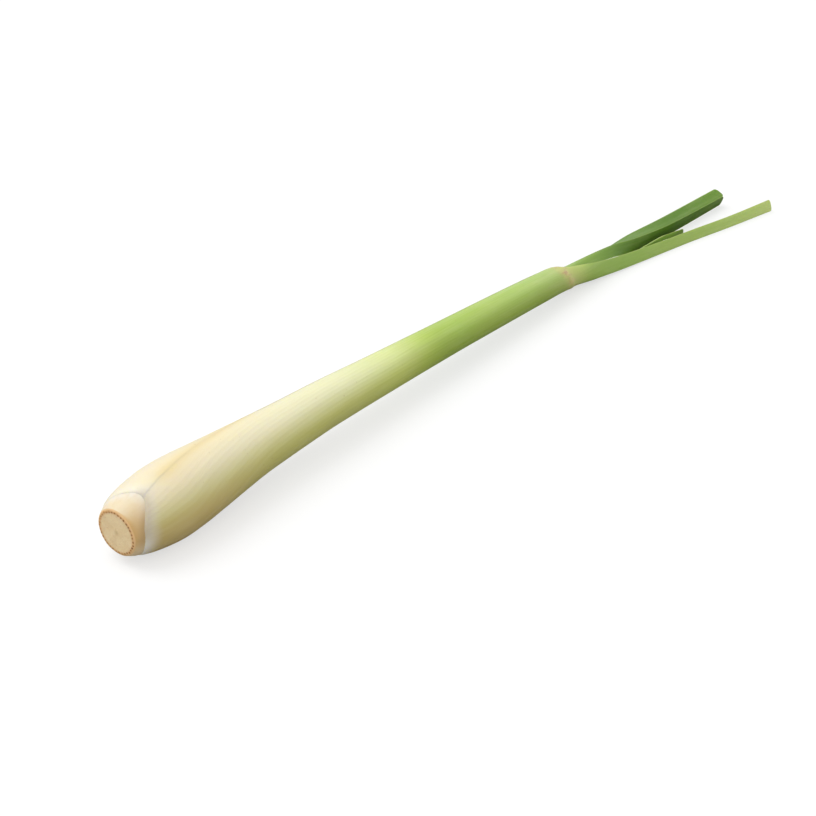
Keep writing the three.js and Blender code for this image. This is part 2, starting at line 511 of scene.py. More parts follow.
@dataclass(frozen=True)
class LeafFinish:
    """Fresh leaf skin: long veins, soft bands of tone, a pale margin, a waxy surface, and painted shade on
    the lower side.
    """

    name: str
    tones: tuple[tuple[float, str], ...]
    tones_end: float = 320.0
    tones_slide: tuple[float, float] = (9.0, 6.0)  # how far bands and veins shift the tones along
    # painted shade: the lower side is tinted darker and yellower, as if turned from the light
    shade: str = "e2e4a0"
    shade_span: Span = (0.1, 1.0)
    # painted shade: darker still on the lowest side over the bulb
    lowest_shade: str = "dcd892"
    lowest_shade_span: Span = (0.68, 1.0)
    lowest_shade_from: Span = (24.0, 60.0)
    lowest_shade_until: Span = (130.0, 90.0)
    blade_from: Span = (196.0, 226.0)
    blade_light: float = 0.55  # how much of the painted shade the blade is spared
    # painted warm shade on the lowest side of the bulb; its strength also sets the lowest painted shade
    warm_shade: str = "c69e62"
    warm_shade_span: Span = (0.45, 1.0)
    warm_shade_until: Span = (64.0, 22.0)
    deep_shade_strength: float = 0.0
    bulb_veins: float = 0.12
    green_veins: float = 0.16  # more of them from the bulb to the green part
    green_from: Span = (40.0, 120.0)
    rib_pitch: float = 0.8
    inside: str = "c4d48c"
    margin: str = "b4cc74"
    margin_width: float = 0.06
    margin_from: Span = (222.0, 232.0)
    midrib: str = "c7d892"
    midrib_width: float = 0.05
    roughness: float = 0.42
    vein_depth: float = 0.00006
    glow: float = 0.0007
    shine: float = 0.32

    def material(self) -> bpy.types.Material:
        """Builds the material.

        Returns:
            A material that reads the attributes grain and facing.
        """
        material = bpy.data.materials.new(self.name)
        g = clear_nodes(material)
        grain, facing = (
            g.parts(g.add("ShaderNodeAttribute", {"attribute_name": name}, None, "Vector"))
            for name in ("grain", "facing")
        )
        p = Place(*grain, *facing)

        # long veins, wider bands and a soft mottle, all drawn out along the leaf
        fine = g.noise(g.vector(p.x * 0.012, p.across * 2.3, p.inside * 7.0), detail=3.0, rough=0.6)
        band = g.noise(g.vector(p.x * 0.006, p.across * 0.42, p.inside * 9.0 + 4.0))
        mottle = g.noise(g.vector(p.x * 0.09, p.across * 0.25, 2.0), detail=3.0, rough=0.55)

        base = self.shaded(g, p, (band - 0.5) * self.tones_slide[0] + (fine - 0.5) * self.tones_slide[1])
        base = g.wash(base, g.step(band, 0.35, 0.75) * 0.08, "f4f2c4")
        veins = g.step(fine, 0.52, 0.8) * (self.bulb_veins + g.step(p.x, *self.green_from) * self.green_veins)
        base = g.wash(base, veins, "cfd6a8", "MULTIPLY")
        base = g.wash(base, g.step(mottle, 0.4, 0.75) * 0.048, "fbf4d0")
        base = self.edged(g, p, self.marks(g, p, base))

        ribs = g.math("COSINE", p.across * (2 * math.pi / self.rib_pitch)) * 0.12
        bump = {"Strength": 0.55, "Distance": self.vein_depth, "Height": fine * 0.7 + ribs + mottle * 0.35}
        principled(
            g,
            {
                "Base Color": base,
                "Roughness": self.roughness + (fine - 0.5) * 0.12 + (mottle - 0.5) * 0.1,
                "Normal": g.add("ShaderNodeBump", None, bump),
                "Subsurface Weight": 0.35,
                "Subsurface Radius": (1.0, 0.85, 0.25),
                "Subsurface Scale": self.glow,
                "Specular IOR Level": self.shine,
                "Coat Weight": 0.04,
                "Coat Roughness": 0.3,
            },
        )
        return material

    def shaded(self, g: Graph, p: Place, slide: Value) -> Value:
        """The leaf's tones along its length, with painted shade on the lower side.

        Args:
            g: the material's graph.
            p: the place on the leaf.
            slide: how far the tones are shifted along there.

        Returns:
            The colour.
        """
        stops = [(x / self.tones_end, tone(code)) for x, code in self.tones]
        base = g.add("ShaderNodeValToRGB", {"stops": stops}, {0: (p.x + slide) / self.tones_end})
        # painted shade on the sides turned from the light
        low = p.toward(SHADED_LEAN)
        spared = g.step(p.x, *self.blade_from) * self.blade_light
        base = g.wash(base, g.step(low, *self.shade_span) * (1.0 - spared), self.shade, "MULTIPLY")
        # painted shade, darker still on the lowest side
        lowest_shade = g.step(low, *self.lowest_shade_span) * g.step(p.x, *self.lowest_shade_from)
        lowest_shade = lowest_shade * g.step(p.x, *self.lowest_shade_until) * (self.deep_shade_strength / 2)
        base = g.wash(base, lowest_shade, self.lowest_shade, "MULTIPLY")
        # painted warm shade low on the bulb's lowest side
        warm_shade = g.step(p.toward(LOW_LEAN), *self.warm_shade_span) * g.step(p.x, *self.warm_shade_until)
        return g.wash(base, warm_shade * self.deep_shade_strength, self.warm_shade)

    def marks(self, g: Graph, p: Place, base: Value) -> Value:
        """Marks of one leaf alone. A plain leaf has none."""
        return base

    def edged(self, g: Graph, p: Place, base: Value) -> Value:
        """Adds the paler inside of the fold, and the pale midrib and margins of the blade.

        Args:
            g: the material's graph.
            p: the place on the leaf.
            base: the colour so far.

        Returns:
            The colour with them on it.
        """
        blade = g.step(p.x, *self.margin_from)
        edge = g.step(g.math("ABSOLUTE", p.u), 1 - self.margin_width, 1 - self.margin_width * 0.35)
        base = g.wash(base, p.inside * 0.35, self.inside)
        base = g.wash(base, g.peak(p.u / self.midrib_width) * blade * 0.3, self.midrib)
        return g.wash(base, edge * blade * 0.6, self.margin)


@dataclass(frozen=True)
class SheathFinish(LeafFinish):
    """The outer leaf's skin, with its pale lip and the painted light and shade on it, the blush beside its
    margin and its collar.
    """

    lip: str = "f2edde"
    lip_span: Span = (12.4, 8.3)
    # painted shade: a tan line along the lip's edge on the near side
    lip_edge_shade: str = "b39c72"
    lip_edge_shade_width: float = 2.4
    blush: str = "ecce82"
    blush_from: Span = (11.0, 20.0)
    blush_until: Span = (74.0, 46.0)
    blush_width: float = 9.0  # across one half of the leaf
    seam: str = "cfb184"
    seam_from: Span = (60.0, 90.0)
    seam_until: Span = (214.0, 206.0)
    collar: str = "dccb8a"
    collar_width: float = 2.5
    fresh: str = "c6d276"
    spot: str = "bd9070"
    speck: str = "a98f58"

    def marks(self, g: Graph, p: Place, base: Value) -> Value:
        """Draws the lip with its painted light and painted shade, the blush, the margin's seam and the
        collar.

        Args:
            g: the material's graph.
            p: the place on the leaf.
            base: the colour so far.

        Returns:
            The colour with the marks on it.
        """
        # the thin pale lip on the stem, made whitest on the near side with painted light, and a tan edge of
        # painted shade above it on the near side
        white = 0.3 + g.step(p.away, 0.35, -0.3) * 0.6
        base = g.wash(base, g.step(p.x, *self.lip_span) * white, self.lip)
        # painted shade along the lip's edge on the near side
        near = g.step(p.toward(NEAR_LEAN), 0.55, 0.95)
        base = g.wash(base, g.peak((p.x - LIP) / self.lip_edge_shade_width) * near * 0.6, self.lip_edge_shade)

        # a warm blush on both sides of the margin over the bulb, and a fine seam beyond it
        over = (1.0 - g.math("ABSOLUTE", p.u)) * self.blush_width
        bulb = g.step(p.x, *self.blush_from) * g.step(p.x, *self.blush_until)
        base = g.wash(base, g.peak((over - 0.1) / 0.42) * bulb * 0.42, self.blush)
        base = g.wash(base, g.peak(over / 1.6) * bulb * 0.3, self.blush)
        seam = g.step(p.x, *self.seam_from) * g.step(p.x, *self.seam_until)
        base = g.wash(base, g.peak((over - 0.15) / 0.22) * seam * 0.5, self.seam)

        # the collar: a pale, dry, slanting band with pinkish spots, and fresh growth past it
        patchy = g.noise(g.vector(p.x * 0.2, p.across * 0.28, 9.0), rough=0.6)
        spots = g.noise(g.vector(p.x * 0.5, p.across * 0.55, 5.0), detail=3.0, rough=0.65)
        band = (p.x - collar_line(p.away, p.up)) / self.collar_width
        base = g.wash(base, g.peak((band - 1.2) / 1.7) * 0.85, self.fresh)
        base = g.wash(base, g.peak(band) * (0.3 + g.step(patchy, 0.35, 0.65) * 0.5), self.collar)
        upper = 0.35 + g.step(p.away * 0.5 + p.up, -0.3, 0.6) * 0.65
        spotted = g.peak((band + 0.05) / 0.85) * upper * g.step(spots, 0.46, 0.6)
        base = g.wash(base, spotted * 0.6, self.spot)
        specks = g.noise(g.vector(p.x * 0.8, p.across * 0.9, 11.0), detail=1.0)
        return g.wash(base, g.step(specks, 0.71, 0.8) * 0.25, self.speck)


@dataclass(frozen=True)
class StemFinish:
    """The cut stem: pale pith, a wood ring, a tan rim, and a side that is browner low down, with painted
    shade and painted light along the sheath's lip.
    """

    centre: tuple[float, float, float]  # the middle of the cut, in the shared frame
    name: str = "cut_stem_wood"
    rim: float = 7.45
    face: Span = (0.18, 0.42)  # where the cut face turns into the side
    lip_shade: float = 2.6  # how far before the lip the painted shade on the low side begins, and the painted light on the other sides
    lip_painted_light: float = 4.0

    def material(self) -> bpy.types.Material:
        """Builds the material around the stem's axis.

        Returns:
            The material.
        """
        material = bpy.data.materials.new(self.name)
        g = clear_nodes(material)
        place = (g.add("ShaderNodeTexCoord", None, None, "Object") - self.centre) / MM
        x, y, z = g.parts(place)
        radius = g.math("SQRT", y * y + z * z)
        turn = g.math("ARCTAN2", z, y)
        soft = g.noise(place, 0.35, 3.0, 0.55)
        fibre = g.noise(g.vector(y, z, x * 0.12), 2.6, 3.0, 0.6)
        streak = g.noise(g.vector(x * 0.25, turn * 6.0, 3.0), 1.0, 3.0, 0.55)

        # the cut face: fibres, a darker heart, the wood ring and the rim
        pith = g.wash(tone("f6d8a6"), g.step(fibre, 0.35, 0.7), "ffebbe")
        pith = g.wash(pith, g.step(soft, 0.35, 0.7) * 0.35, "e4c590")
        pith = g.wash(pith, g.peak(radius / 0.75) * 0.45, "b99a5c")
        ring = g.peak((radius - self.rim * 0.93) / 0.6)
        pith = g.wash(pith, ring * (0.45 + fibre * 0.45), "d89c58")
        pith = g.wash(pith, g.step(radius, self.rim * 0.97, self.rim * 1.01), "eec48c")

        # the side: browner low down, with painted shade along the sheath's lip on the low side and painted
        # light along it elsewhere
        low = g.step(toward(y, z, LOW_LEAN) / radius, -0.5, 0.6)
        side = g.wash(tone("e2b67a"), g.step(x, 0.1, 0.55 + low * 1.6), "ecdcba")
        side = g.wash(side, low * 0.85, "d9b272")
        lip = LIP - lip_reach(y / radius, z / radius)
        side = g.wash(side, g.step(x, lip - self.lip_shade, lip) * low * 0.6, "b8976a")
        # painted light near the lip on the other sides, over the shade under the lip's edge
        side = g.wash(side, g.step(x, lip - self.lip_painted_light, lip) * (1.0 - low) * 0.75, "efe8da")
        # painted light: the underside is paler, as if lit from below
        side = g.wash(side, g.step(z / radius, 0.05, -0.5) * 0.7, "efd9b0")
        side = g.wash(side, g.step(streak, 0.45, 0.75) * 0.22, "dcc08a")

        strokes = {"Vector": place, "Scale": 0.55, "Distortion": 2.5, "Detail": 2.0}
        knife = g.add("ShaderNodeTexWave", {"bands_direction": "DIAGONAL"}, strokes, "Fac")
        bump = {"Strength": 0.6, "Distance": 0.0001, "Height": fibre * 0.8 + knife * 0.25 + streak * 0.4}
        principled(
            g,
            {
                "Base Color": g.colour_mix(g.step(x, *self.face), pith, side),
                "Roughness": 0.58 + (fibre - 0.5) * 0.2,
                "Normal": g.add("ShaderNodeBump", None, bump),
                "Subsurface Weight": 0.2,
                "Subsurface Radius": (1.0, 0.7, 0.35),
                "Subsurface Scale": 0.002,
                "Specular IOR Level": 0.4,
            },
        )
        return material


@dataclass(frozen=True)
class VesselFinish:
    """The ends of the wood vessels, brown and a little uneven, paler towards the far side."""

    name: str = "vessel_ends"
    dark: str = "86501f"
    light: str = "b87c3c"
    pale: str = "cf9c60"
    pale_span: Span = (1.0, 9.0)

    def material(self) -> bpy.types.Material:
        """Builds the material.

        Returns:
            The material.
        """
        material = bpy.data.materials.new(self.name)
        g = clear_nodes(material)
        place = g.add("ShaderNodeTexCoord", None, None, "Object") / MM
        patch = g.noise(place, 0.5)
        grit = g.noise(place, 5.0, rough=0.6)
        base = g.wash(tone(self.dark), g.step(patch, 0.36, 0.62), self.light)
        base = g.wash(base, g.step(g.parts(place)[1], *self.pale_span) * 0.6, self.pale)
        normal = g.add("ShaderNodeBump", None, {"Strength": 0.5, "Distance": 0.00005, "Height": grit})
        principled(g, {"Base Color": base, "Roughness": 0.6 + grit * 0.15, "Normal": normal})
        return material


# ------------ the leaves' rule
@dataclass(frozen=True)
class Relief:
    """The shapes of the leaves' relief, which the rule's inputs scale. Spans are shares of the width."""

    ease: float = 0.5  # how far the columns crowd towards the margins
    lap_span: Span = (0.87, 0.94)
    lap_sides: tuple[float, float] = (-0.85, 0.15)  # the margin that dips under, and the one over it
    swell_along: float = 0.022  # how quickly the swells change, per mm and per radian
    swell_round: float = 1.3
    swell_span: Span = (1.0, 0.8)
    rib_span: Span = (0.97, 0.85)
    rib_along: float = 0.03  # how quickly the ribs' height changes, per mm and over half the width
    rib_round: float = 6.0
    keel_width: float = 0.045
    collar_width: float = 1.3  # mm
    collar_span: Span = (1.0, 0.94)
    rim_power: float = 30.0
    corner_length: float = 5.0  # mm
    corner_power: float = 4.0
    fold_width: float = 5.0  # mm, what the finish takes for a folded half's width
    floor_blend: float = 0.0002
    weld: float = 0.000001


def leaf_rule(material: bpy.types.Material, relief: Relief = Relief()) -> Rule:
    """The rule that grows a leaf round a line of stations.

    Args:
        material: the leaf's finish.
        relief: the shapes of its relief.

    Returns:
        A rule whose base is a mesh of station points with the attributes midrib, side, arc, fold,
        skin and mark.
    """
    r = Rule("leaf_rule_" + material.name)
    outer = r.size("outer columns", 150)
    inner = r.size("inner columns", 50)
    margin = r.size("margin thickness", 0.3)
    ribs = r.size("rib count", 22)
    rib_height = r.size("rib height", 0.03)
    keel = r.size("midrib height", 0.1)
    collar_height = r.size("collar height", 0.0)
    lipped = r.size("lip share", 0.0)
    tip = r.size("tip distance", 318.0)
    trim = r.size("tip trim", 0.8)
    floor = r.size("floor height", 0.0)
    seed = r.size("seed", 3.0)

    domain = {"component": "MESH"}
    rows = r.add("GeometryNodeAttributeDomainSize", domain, {"Geometry": r.base}, "Point Count")
    grid_sizes = {"Size X": 1.0, "Size Y": 1.0, "Vertices X": outer + inner + 1, "Vertices Y": rows}
    grid = r.add("GeometryNodeMeshGrid", None, grid_sizes, "Mesh")
    index = r.add("GeometryNodeInputIndex")
    column = r.math("FLOOR", (index + 0.5) / rows)
    row = index - column * rows + 0.5

    def sample(name: str) -> Value:
        """An attribute of the station that a point belongs to.

        Args:
            name: the attribute's name.

        Returns:
            Its value there.
        """
        if name == "position":
            read = r.add("GeometryNodeInputPosition")
        else:
            read = r.add("GeometryNodeInputNamedAttribute", {"data_type": "FLOAT_VECTOR"}, {"Name": name})
        return r.add("GeometryNodeSampleIndex", PER_POINT, {"Geometry": r.base, "Value": read, "Index": row})

    spine, midrib, side = sample("position"), sample("midrib"), sample("side")
    radius, angle, folded = r.parts(sample("arc"))
    width, depth, roundness = r.parts(sample("fold"))
    thickness, cap, flat = r.parts(sample("skin"))
    x, overlap, swell = r.parts(sample("mark"))

    # round the section from one margin over the outside to the other, and back along the inside. At the
    # cut ends the outside's columns meet the inside's, so that they close
    out_way = r.math("MINIMUM", column / outer, 1.0)
    out_way = r.blend(cap, out_way, r.math("ROUND", out_way * inner) / inner)
    back_way = r.math("MAXIMUM", (column - outer) / inner, 0.0)
    even = out_way * 2.0 - 1.0 - back_way * 2.0
    u = even * (1 - relief.ease) + r.math("SINE", even * (math.pi / 2)) * relief.ease
    inward = r.math("GREATER_THAN", column, outer + 0.5)
    size = r.math("ABSOLUTE", u)
    sign = r.math("SIGN", u)

    # a rolled section, a folded one, and the passage between them
    turn = u * angle
    bent = r.math("SQRT", u * u + roundness * roundness)
    out = r.blend(folded, radius * r.math("SINE", turn), width * u)
    rise = r.blend(folded, radius * (r.math("COSINE", turn) - 1.0), (roundness - bent) * depth)
    rolled = r.vector(r.math("SINE", turn), r.math("COSINE", turn), 0.0)
    creased = r.math("NORMALIZE", r.vector(u / bent * depth, width, 0.0))
    slope = r.math("NORMALIZE", r.blend(folded, rolled, creased))
    slope_out, slope_up, _ = r.parts(slope)
    facing = side * slope_out + midrib * slope_up
    _, away, up = r.parts(facing)

    # lapping margins, long swells, ribs, a keel, the collar's ring and the lip that closes on the stem
    lap = r.step(size, *relief.lap_span) * overlap
    lap = lap * r.blend(r.math("GREATER_THAN", u, 0.0), *relief.lap_sides)
    place = r.vector(x * relief.swell_along, turn * relief.swell_round * (1.0 - folded) + u * folded, seed)
    long_swell = (r.noise(place) - 0.5) * swell * r.step(size, *relief.swell_span)
    fading = r.noise(r.vector(x * relief.rib_along, u * relief.rib_round, seed + 3.0), detail=1.0)
    wave = r.math("COSINE", u * ribs * (2 * math.pi)) * rib_height * fading * r.step(size, *relief.rib_span)
    crest = r.peak(u / relief.keel_width) * keel * folded
    ring = r.peak((x - collar_line(away, up)) / relief.collar_width) * collar_height
    ring = ring * r.step(size, *relief.collar_span)
    reach = lip_reach(away, up) * r.step(x, LIP_FADE, LIP) * lipped
    closing = reach * (LIP_CLOSING[0] + reach * LIP_CLOSING[1])
    raised = lap + long_swell + ((wave + crest + ring) * (1.0 - inward) * (1.0 - cap) - closing) * MM

    # the skin's thickness, which thins to the margins and closes at them and at the ends
    skin = thickness * (margin + (1.0 - margin) * (1.0 - u * u))
    rim = r.math("SQRT", r.math("MAXIMUM", 1.0 - size**relief.rim_power, 0.0)) * (1.0 - cap)
    shift = raised - skin * (0.5 + (inward - 0.5) * rim)
    moved = out + slope_out * shift
    kept = r.math("MAXIMUM", moved * sign, out * sign * 0.1) * sign
    arm = side * r.blend(folded, moved, kept) + midrib * (rise + slope_up * shift)
    where = spine + arm * r.vector(1.0, 1.0, flat)

    # the lip slants down the stem, the cut tip has rounded corners, and nothing sinks into the floor
    corner = (size * 2.0 - 1.0) ** relief.corner_power * r.step(x, tip - relief.corner_length, tip) * trim
    where = where + r.math("CROSS_PRODUCT", midrib, side) * ((reach + corner) * -MM)
    px, py, pz = r.parts(where)
    ground = r.math("SMOOTH_MAX", pz, floor, relief.floor_blend)
    shaped = r.add("GeometryNodeSetPosition", None, {"Geometry": grid, "Position": r.vector(px, py, ground)})

    # what the finish reads: along, across and share of the width, then the way it faces
    over = (u * angle * radius * (1.0 - folded) + u * relief.fold_width * MM * folded) / MM
    named = r.store(shaped, "grain", r.vector(x, over, u))
    named = r.store(named, "facing", r.vector(away, up, inward))
    closed = r.add("GeometryNodeMergeByDistance", None, {"Geometry": named, "Distance": relief.weld})
    r.close(r.add("GeometryNodeSetShadeSmooth", None, {"Geometry": closed}), material)
    return r


@dataclass
class Leaf:
    """A leaf of the stalk: a rolled sheath or foot that opens into a folded blade."""

    name: str
    node: str
    slot: Finish
    finish: LeafFinish
    roll: Course  # distance -> radius, half angle, lean of the midrib
    blade: Course  # distance past the collar -> y, z, half width, opening, roundness, lean
    skin: Course  # distance -> thickness, lap of the margins, swell
    rows: list[float]
    joining: Span  # where the midrib passes from the roll to the blade
    folding: Span  # where the section passes from rolled to folded
    columns: tuple[int, int]
    rib_count: int
    sizes: dict[str, float] = field(default_factory=dict)
    sharp_angle: float = 50.0

    def stations(self, datum: Datum) -> bpy.types.Mesh:
        """The line of stations that the rule grows the leaf round.

        Args:
            datum: where the stalk lies.

        Returns:
            A mesh of points with the rule's attributes.
        """
        xs = [self.rows[0], *self.rows, self.rows[-1]]
        points, lists = [], {key: [] for key in ("midrib", "side", "arc", "fold", "skin", "mark")}
        for number, x in enumerate(xs):
            radius, angle, lean_roll = self.roll.at(x)
            y, z, half, opening, roundness, lean_blade = self.blade.at(x - COLLAR)
            thickness, lap, swell = self.skin.at(x)
            share = smooth(*self.joining, x)
            fold = smooth(*self.folding, x)
            lean = math.radians(lean_roll + (lean_blade - lean_roll) * share)
            ahead, behind = self.blade.at(x - COLLAR + 0.5), self.blade.at(x - COLLAR - 0.5)
            run = Vector((1.0, (ahead[0] - behind[0]) * share, (ahead[1] - behind[1]) * share)).normalized()
            midrib = Vector((0.0, math.sin(lean), math.cos(lean)))
            centre_y, centre_z = AXIS.at(x)
            on_roll = Vector((x, centre_y + midrib.y * radius, centre_z + midrib.z * radius * FLATTENING))
            midrib = (midrib - run * midrib.dot(run)).normalized()
            opened = math.radians(opening / 2)
            end = float(number in (0, len(xs) - 1))
            points.append(datum.point(*on_roll.lerp(Vector((x, y, z)), share)))
            lists["midrib"].append(midrib)
            lists["side"].append(run.cross(midrib))
            lists["arc"].append((radius * MM, math.radians(angle), fold))
            lists["fold"].append((half * math.sin(opened) * MM, half * math.cos(opened) * MM, roundness))
            lists["skin"].append((thickness * MM, end, FLATTENING + (1 - FLATTENING) * share))
            lists["mark"].append((x, lap * MM, swell * MM))
        mesh = bpy.data.meshes.new(self.name + "_stations")
        mesh.from_pydata(points, [], [])
        for key, vectors in lists.items():
            layer = mesh.attributes.new(key, "FLOAT_VECTOR", "POINT")
            layer.data.foreach_set("vector", np.array([tuple(v) for v in vectors], np.float32).ravel())
        return mesh

    def build(self, datum: Datum) -> bpy.types.Object:
        """Grows the leaf, ties it to the root's body and hides the imported part that it stands for.

        Args:
            datum: where the stalk lies.

        Returns:
            The leaf piece.
        """
        rule = leaf_rule(self.finish.material())
        sizes = {"outer columns": self.columns[0], "inner columns": self.columns[1],
                 "rib count": self.rib_count, "floor height": datum.floor, **self.sizes}
        piece = rule.grow(self.name, self.stations(datum), sizes)
        point_outwards(piece)
        piece.data.set_sharp_from_angle(angle=math.radians(self.sharp_angle))
        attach(piece, "root")
        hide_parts(self.node)
        return piece


def point_outwards(piece: bpy.types.Object) -> None:
    """Turns a closed mesh's faces round if its volume comes out negative.

    Args:
        piece: the piece, whose size is logged.
    """
    mesh = piece.data
    mesh.calc_loop_triangles()
    corners = np.zeros(len(mesh.vertices) * 3)
    mesh.vertices.foreach_get("co", corners)
    trios = np.zeros(len(mesh.loop_triangles) * 3, int)
    mesh.loop_triangles.foreach_get("vertices", trios)
    a, b, c = (corners.reshape(-1, 3)[trios.reshape(-1, 3)[:, i]] for i in range(3))
    volume = float((a * np.cross(b, c)).sum() / 6)
    if volume < 0:
        mesh.flip_normals()
    LOG.info("%s: %d triangles, %.2f cm3", piece.name, len(trios) // 3, abs(volume) * 1e6)


# ------------ the three leaves
def outer_leaf() -> Leaf:
    """The outer leaf: the sheath that is the stalk's body, its collar and its blade.

    Returns:
        The leaf, ready to build.
    """
    return Leaf(
        name="outer_leaf_skin",
        node="outer_leaf",
        slot=Finish.OUTER_LEAF,
        finish=SheathFinish(
            name="outer_leaf_green",
            glow=0.0003,
            shine=0.55,
            deep_shade_strength=0.55,
            tones=(
                (0, "ece2c9"), (12, "efe3c4"), (30, "f0e6c8"), (60, "efe8c5"), (95, "eaeabc"),
                (120, "dbe598"), (127, "ccda81"), (132, "c1d56c"), (137, "b4cd56"), (143, "abc650"),
                (152, "a8c74e"), (166, "acc856"), (190, "adcb62"), (202, "aec96a"), (211, "b4ca72"),
                (218, "c4dc78"), (226, "a8ca5e"), (242, "a3c860"), (265, "b0cf6c"), (290, "bfdb7c"),
                (308, "cfe68e"), (318, "d8ea96"),
            ),
        ),
        roll=Course(
            [
                (8.0, 10.4, 181, 160), (8.2, 10.64, 181, 160.2), (8.6, 10.96, 181, 161),
                (9.6, 11.36, 181, 162), (12, 11.9, 181, 164), (16, 12.25, 181, 169), (21, 12.4, 181, 173),
                (26, 12.25, 181, 178.5), (34, 11.6, 181, 187), (40, 11.0, 181, 193), (59, 9.35, 181, 210),
                (99, 7.55, 181, 222), (150, 6.2, 181, 225), (199, 5.35, 181, 225), (206, 5.17, 180, 225),
                (210, 5.07, 161, 225), (213, 5.0, 130, 225), (216.5, 4.95, 106, 225), (220, 4.95, 96, 225),
                (226, 5.0, 92, 225), (318, 5.0, 90, 222),
            ]
        ),
        blade=Course(
            [
                (-4, -3.4, 2.82, 9.2, 64, 0.55, 225), (0, -3.3, 2.87, 9.6, 64, 0.55, 225),
                (12, -4.5, 1.62, 7.9, 58, 0.4, 225), (30, -7.3, 0.62, 5.9, 50, 0.22, 224),
                (58, -12.2, 0.12, 4.8, 48, 0.16, 223), (80, -17.2, 0.02, 4.8, 48, 0.16, 222),
                (101, -21.6, 0.02, 5.2, 48, 0.16, 222),
            ]
        ),
        skin=Course(
            [
                (8.0, 0.24, 0.02, 0.0), (9.6, 1.0, 0.02, 0.1), (30, 1.3, 0.035, 0.45),
                (120, 0.9, 0.09, 0.3), (200, 0.8, 0.12, 0.2), (211, 0.7, 0.0, 0.1), (222, 0.55, 0.0, 0.08),
                (318, 0.42, 0.0, 0.1),
            ]
        ),
        rows=ladder((LIP, LIP + 0.6, 0.1), (LIP + 0.6, 13.0, 0.4), (13.0, 205.0, 0.95), (205.0, 232.0, 0.45),
                    (232.0, 318.0, 0.85)),
        joining=(209.0, 219.0),
        folding=(218.0, 236.0),
        columns=(176, 44),
        rib_count=20,
        sizes={"collar height": 0.22, "rib height": 0.05, "midrib height": 0.12, "margin thickness": 0.12,
               "lip share": 1.0, "tip distance": 318.0, "tip trim": 0.9},
    )


def second_leaf() -> Leaf:
    """The second leaf: rolled in the mouth of the sheath, then a roof over the third.

    Returns:
        The leaf, ready to build.
    """
    return Leaf(
        name="second_leaf_skin",
        node="second_leaf",
        slot=Finish.SECOND_LEAF,
        finish=LeafFinish(
            name="second_leaf_green",
            shine=0.22,
            # the tones are the leaf's own greens, deepened with painted shade
            tones=((0, "b9cc80"), (206, "a9c46a"), (222, "8fb050"), (245, "658c2c"), (280, "5a8224"),
                   (312, "6c922e")),
            midrib="a9c470",
            margin="b4cc78",
        ),
        roll=Course(
            [
                (204.7, 3.9, 172, 30), (211, 3.85, 172, 30), (216, 3.4, 150, 30), (221, 2.9, 110, 22),
                (228, 2.6, 90, 14), (309, 2.6, 90, -66),
            ]
        ),
        blade=Course(
            [
                (-12, 1.5, 9.3, 2.2, 74, 0.5, 30), (-6, 1.3, 9.15, 2.4, 74, 0.5, 30),
                (4, 1.0, 8.82, 3.9, 76, 0.5, 20), (25, -0.2, 7.72, 5.0, 84, 0.28, 4),
                (42, -2.3, 5.82, 5.0, 88, 0.16, -38), (60, -4.0, 4.77, 4.9, 90, 0.12, -54),
                (93, -5.6, 4.27, 4.7, 90, 0.12, -66),
            ]
        ),
        skin=Course([(204.7, 0.5, 0, 0.1), (230, 0.42, 0, 0.15), (309.3, 0.36, 0, 0.15)]),
        rows=ladder((204.7, 212.0, 0.8), (212.0, 236.0, 0.5), (236.0, 309.3, 0.8)),
        joining=(212.0, 221.0),
        folding=(216.0, 232.0),
        columns=(72, 48),
        rib_count=9,
        sizes={"rib height": 0.05, "midrib height": 0.16, "seed": 11.0, "tip distance": 309.3,
               "tip trim": 1.0},
    )


def third_leaf() -> Leaf:
    """The third leaf: a narrow rolled spear that opens late.

    Returns:
        The leaf, ready to build.
    """
    return Leaf(
        name="third_leaf_skin",
        node="third_leaf",
        slot=Finish.THIRD_LEAF,
        finish=LeafFinish(
            name="third_leaf_green",
            # the tones are the leaf's own greens, deepened with painted shade
            tones=((0, "bccf86"), (212, "b6ca7c"), (232, "93b45a"), (262, "87aa52"), (282, "93b35c")),
            midrib="b2cb78",
            margin="bdd184",
        ),
        roll=Course([(211, 2.0, 165, 215), (216, 1.7, 160, 215), (224, 1.3, 130, 215), (281, 1.3, 90, 212)]),
        blade=Course(
            [
                (-6, -0.9, 5.3, 0.9, 60, 0.5, 215), (1, -0.4, 5.52, 0.9, 60, 0.5, 215),
                (8, -1.5, 4.32, 1.4, 56, 0.5, 215), (15, -3.0, 3.32, 1.7, 50, 0.36, 214),
                (25, -5.0, 2.32, 1.9, 50, 0.3, 213), (33, -6.2, 2.32, 1.9, 50, 0.3, 213),
                (42, -6.6, 2.82, 1.9, 50, 0.3, 213), (50, -6.9, 2.62, 2.1, 50, 0.26, 212),
                (57, -7.0, 1.42, 2.3, 50, 0.22, 212), (64, -7.0, 0.02, 2.5, 50, 0.2, 212),
            ]
        ),
        skin=Course([(211, 0.4, 0, 0.0), (240, 0.34, 0, 0.05), (280.3, 0.3, 0, 0.05)]),
        rows=ladder((211.0, 280.3, 0.7)),
        joining=(214.0, 224.0),
        folding=(218.0, 232.0),
        columns=(40, 28),
        rib_count=5,
        sizes={"rib height": 0.03, "midrib height": 0.08, "seed": 17.0, "tip distance": 280.3,
               "tip trim": 0.6},
    )


